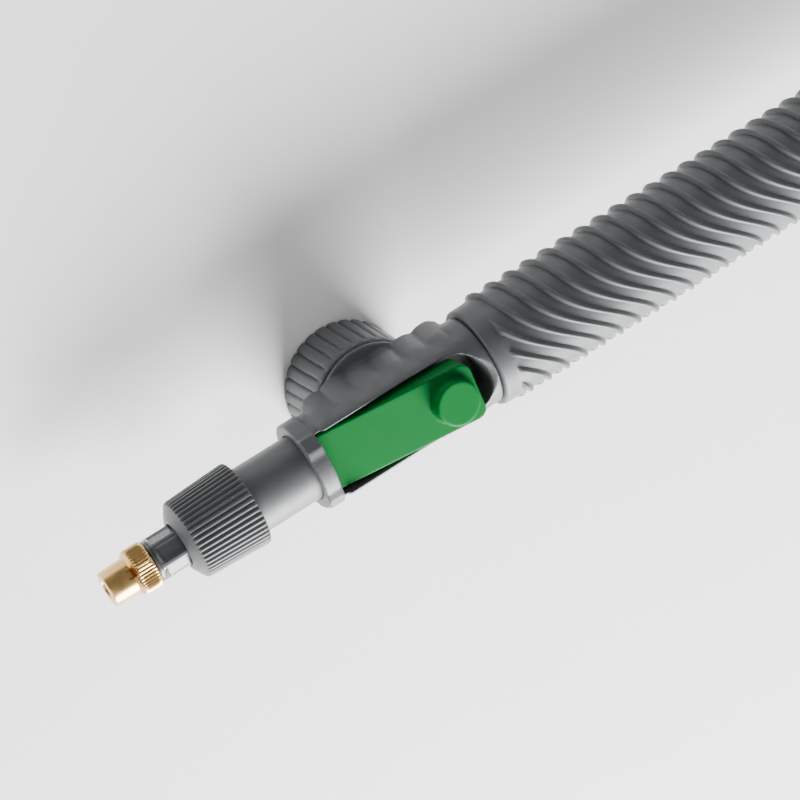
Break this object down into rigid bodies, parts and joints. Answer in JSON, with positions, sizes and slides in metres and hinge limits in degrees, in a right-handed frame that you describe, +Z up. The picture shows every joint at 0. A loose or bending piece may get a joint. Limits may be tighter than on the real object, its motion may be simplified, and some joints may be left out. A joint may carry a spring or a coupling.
{
  "type": "hand pump sprayer head",
  "caption": "Trombone-pump sprayer head: screws onto a drink bottle, ribbed sliding pump grip, thumb trigger lever, brass adjustable nozzle.",
  "frame": {"origin": "centre of the bottle cap's mouth", "axes": "+Z up, away from the bottle; +X along the spray body from the nozzle to the pump grip's end; +Y to the left of someone who sprays away from themself"},
  "size_m": [0.3047, 0.0344, 0.0461],
  "materials": {
    "grey_plastic": "fine matt moulded",
    "dark_plastic": "semi-gloss moulded",
    "green_plastic": "satin moulded",
    "brass": "turned",
    "rubber": "matt moulded",
    "steel": "drawn bright",
    "white_plastic": "natural acetal",
    "tube_plastic": "smooth extruded"
  },
  "bodies": {
    "housing": {"housing": "grey_plastic", "front_tube": "grey_plastic", "outlet_seat": "white_plastic", "outlet_cage": "white_plastic", "outlet_spring": "steel", "stem_gasket": "rubber", "nozzle_stem": "dark_plastic", "swirl_core": "white_plastic", "trigger_pin": "steel", "bottle_spigot": "white_plastic", "bottle_gasket": "rubber", "inlet_seat": "white_plastic", "tube_seal": "rubber", "pump_tube": "tube_plastic", "piston": "white_plastic", "piston_rings": "rubber"},
    "trigger": {"trigger_lever": "green_plastic", "trigger_spring": "steel"},
    "plunger": {"valve_plunger": "white_plastic", "plunger_seals": "rubber"},
    "inlet_ball": {"inlet_ball": "steel"},
    "outlet_ball": {"outlet_ball": "steel"},
    "cap": {"bottle_cap": "grey_plastic"},
    "nut_slider": {"collar_washer": "white_plastic"},
    "nut": {"collar_nut": "grey_plastic"},
    "nozzle_slider": {"nozzle_seal_ring": "rubber"},
    "nozzle": {"nozzle_cap": "brass"},
    "grip": {"pump_barrel": "tube_plastic", "barrel_gland": "white_plastic", "gland_wiper": "rubber", "grip_sleeve": "grey_plastic", "end_cap": "grey_plastic", "end_cap_seal": "rubber"}
  },
  "joints": [
    {"name": "pump_slide", "type": "slide", "parent": "housing", "child": "grip", "axis": [1, 0, 0], "range_m": [0, 0.12]},
    {"name": "trigger_press", "type": "hinge", "parent": "housing", "child": "trigger", "pos_m": [-0.019, 0, 0.0327], "axis": [0, 1, 0], "range_deg": [0, 10], "stiffness_Nm_per_rad": 0.2, "springref_deg": -20.05, "deforming": ["trigger_spring"]},
    {"name": "plunger_push", "type": "slide", "parent": "housing", "child": "plunger", "axis": [0, 0, -1], "range_m": [0, 0.0018]},
    {"name": "inlet_ball_lift", "type": "slide", "parent": "housing", "child": "inlet_ball", "axis": [0, 0, 1], "range_m": [0, 0.0012]},
    {"name": "outlet_ball_lift", "type": "slide", "parent": "housing", "child": "outlet_ball", "axis": [-1, 0, 0], "range_m": [0, 0.0015], "stiffness_N_per_m": 20, "springref_m": -0.003, "deforming": ["outlet_spring"]},
    {"name": "cap_swivel", "type": "hinge", "parent": "housing", "child": "cap", "pos_m": [0, 0, 0.017], "axis": [0, 0, 1], "continuous": true},
    {"name": "nut_travel", "type": "slide", "parent": "housing", "child": "nut_slider", "axis": [-1, 0, 0], "range_m": [0, 0.00601]},
    {"name": "nut_turn", "type": "hinge", "parent": "nut_slider", "child": "nut", "pos_m": [-0.0549, 0, 0.0295], "axis": [-1, 0, 0], "range_deg": [0, 1080]},
    {"name": "nozzle_travel", "type": "slide", "parent": "housing", "child": "nozzle_slider", "axis": [-1, 0, 0], "range_m": [0, 0.00152]},
    {"name": "nozzle_turn", "type": "hinge", "parent": "nozzle_slider", "child": "nozzle", "pos_m": [-0.078, 0, 0.0295], "axis": [-1, 0, 0], "range_deg": [0, 540]}
  ],
  "couplings": [
    {"joint": "plunger_push", "follows": "trigger_press", "m_per_rad": 0.01},
    {"joint": "nut_travel", "follows": "nut_turn", "m_per_rad": 0.00031831},
    {"joint": "nozzle_travel", "follows": "nozzle_turn", "m_per_rad": 0.00015915}
  ]
}
